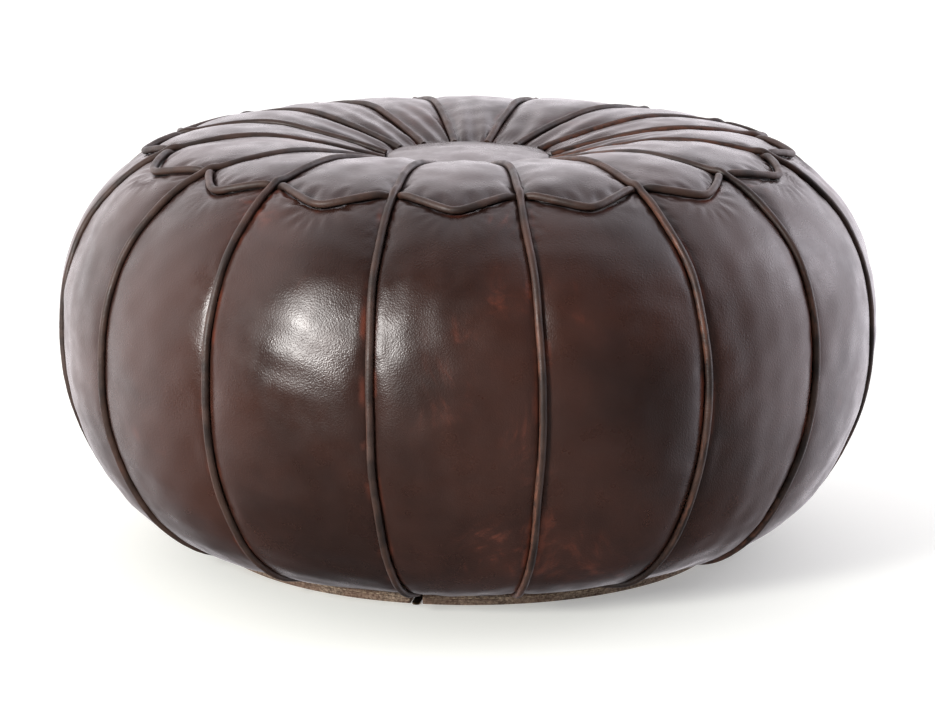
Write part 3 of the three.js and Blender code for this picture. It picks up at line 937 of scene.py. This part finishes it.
def brass():
    """Old brass of the zip's slider, pull and stop."""
    f = Finish("aged_brass")
    place = f.place()
    tarnish = f.span(f.noise(place, 240.0, 4.0), 0.35, 0.7)
    colour = f.blend(tarnish, (0.065, 0.045, 0.028), (0.22, 0.15, 0.075))
    rough = f.span(f.noise(place, 600.0), 0.3, 0.7, 0.25, 0.5)
    return f.done(Base_Color=colour, Roughness=rough, Metallic=1.0,
                  Normal=f.bump(f.noise(place, 1500.0), 0.00004))


def thread():
    f = Finish("linen_thread")
    tone = f.span(f.noise(f.place(), 400.0), 0.3, 0.7)
    colour = f.blend(tone, (0.30, 0.20, 0.13), (0.55, 0.44, 0.32))
    return f.done(Base_Color=colour, Roughness=0.85)


def coil_nylon():
    f = Finish("coil_nylon")
    tone = f.span(f.noise(f.place(), 300.0), 0.3, 0.7)
    return f.done(Base_Color=f.blend(tone, (0.02, 0.012, 0.009), (0.04, 0.025, 0.02)),
                  Roughness=0.45)


def fibre():
    f = Finish("cotton_fibre")
    place = f.place()
    fluff = f.noise(place, 160.0, 6.0, 0.7)
    return f.done(Base_Color=f.blend(fluff, (0.62, 0.58, 0.50), (0.86, 0.84, 0.78)),
                  Roughness=1.0, Normal=f.bump(fluff, 0.002))


# ---------------------------------------------------------------- the pouf

WALL = burnished_leather("wall_leather", (0.019, 0.0082, 0.0061), (0.041, 0.0160, 0.0112),
                         (0.105, 0.028, 0.016), 0.30)
PETAL = burnished_leather("petal_leather", (0.019, 0.0085, 0.0070), (0.037, 0.0155, 0.0125),
                          (0.070, 0.022, 0.016), 0.29)
PIPING = piping_leather()
SUEDE = raw_suede()
TAPE_CLOTH = woven("zip_tape_cloth", (0.012, 0.008, 0.006), (0.035, 0.024, 0.018), 0.0009)
CALICO = woven("calico_cloth", (0.50, 0.45, 0.36), (0.74, 0.70, 0.60), 0.0012)
THREAD = thread()
NYLON = coil_nylon()
METAL = brass()

sew_cover(WALL, PETAL)
sew_pipings(PIPING)
seat_disc(PETAL)
suede_edge(SUEDE)
for side in (-1, 1):
    suede_half(side, SUEDE)
    zip_tape(side, TAPE_CLOTH)
zip_coils(NYLON)
base_stitches(THREAD)
calico_bag(CALICO)
fibre_filling(fibre())
for node in ("zip_slider", "zip_pull", "zip_stop"):
    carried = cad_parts[node]
    carried.data.materials.clear()
    carried.data.materials.append(METAL)


# ---------------------------------------------------------------- stage, light and camera

COOL, WARM = (1.0, 0.955, 1.04), (1.0, 0.975, 0.95)


def stage_floor():
    f = Finish("pale_floor")
    tone = f.span(f.noise(f.place(), 1.5), 0.3, 0.7, 0.80, 0.84)
    colour = f.node("CombineColor", {0: tone, 1: tone * 1.04, 2: tone * 0.97})
    finish = f.done(Base_Color=colour, Roughness=0.9, Emission_Strength=0.3,
                    Emission_Color=(1.0, 1.0, 1.0, 1.0))
    reach = 14.0
    corners = [(reach * x, reach * y, 0) for x, y in ((-1, -1), (1, -1), (1, 1), (-1, 1))]
    floor = make_object("studio_floor", corners, [(0, 1, 2, 3)])
    floor.data.materials.append(finish)
    floor.visible_glossy = False  # the leather's lower half mirrors a dim room, not the floor


def light_panel(name, place, aim, width, height, brightness, colour=COOL):
    """A rectangle of even light, as bright as asked, which the camera doesn't see."""
    light = bpy.data.lights.new(name, "AREA")
    light.shape = "RECTANGLE"
    light.size, light.size_y = width, height
    light.energy = brightness * math.pi * width * height
    light.color = colour
    lamp = bpy.data.objects.new(name, light)
    lamp.location = place
    lamp.rotation_euler = (Vector(aim) - Vector(place)).to_track_quat("-Z", "Y").to_euler()
    lamp.visible_camera = False
    bpy.context.scene.collection.objects.link(lamp)


def room():
    """A white room behind and beside the pouf, dim in front of it, under it and overhead."""
    f = Finish("studio_room", bpy.data.worlds)
    toward = f.node("TexCoord", output="Generated")
    x, y, z = (f.node("SeparateXYZ", {0: toward}, output=axis) for axis in "XYZ")
    shown = f.span(y, -0.45, 0.1) * f.span(z, -0.8, -0.15) * f.span(z, 0.45, 0.95, 1.0, 0.5)
    tint = f.blend(f.span(x, -1.0, 1.0), (1.0, 0.94, 0.95), COOL)
    sky = f.node("Background", {"Color": tint, "Strength": shown * 2.0 + 0.1})
    f.tree.links.new(sky.socket, f.tree.nodes.new("ShaderNodeOutputWorld").inputs[0])
    bpy.context.scene.world = f.material


def studio():
    """A softbox at the front left and a fainter panel at the right, in the white room."""
    stage_floor()
    room()
    light_panel("softbox", (-1.06, -1.37, 0.67), (-0.10, -0.29, 0.21), 0.36, 0.60, 48,
                WARM)
    light_panel("right_panel", (2.6, 1.0, 1.2), (0.2, 0, 0.2), 1.2, 1.2, 2.5)
    bpy.context.scene.view_settings.view_transform = "Standard"


TARGET = Vector((0.0, 0.0, 0.165))
DISTANCE = 2.341
ELEVATION = math.radians(12.11)
AIM_DOWN = math.radians(0.65)   # the camera looks this much below the target
ROLL = math.radians(0.18)
LENS = 122.2


def camera():
    lens = bpy.data.cameras.new("view")
    lens.lens, lens.sensor_width = LENS, 36.0
    seen = bpy.data.objects.new("view", lens)
    place = TARGET + DISTANCE * Vector((0, -math.cos(ELEVATION), math.sin(ELEVATION)))
    turn = Matrix.Rotation(math.pi / 2 - ELEVATION - AIM_DOWN, 4, "X") @ Matrix.Rotation(ROLL, 4, "Z")
    seen.matrix_world = Matrix.Translation(place) @ turn
    bpy.context.scene.collection.objects.link(seen)
    bpy.context.scene.camera = seen


studio()
camera()
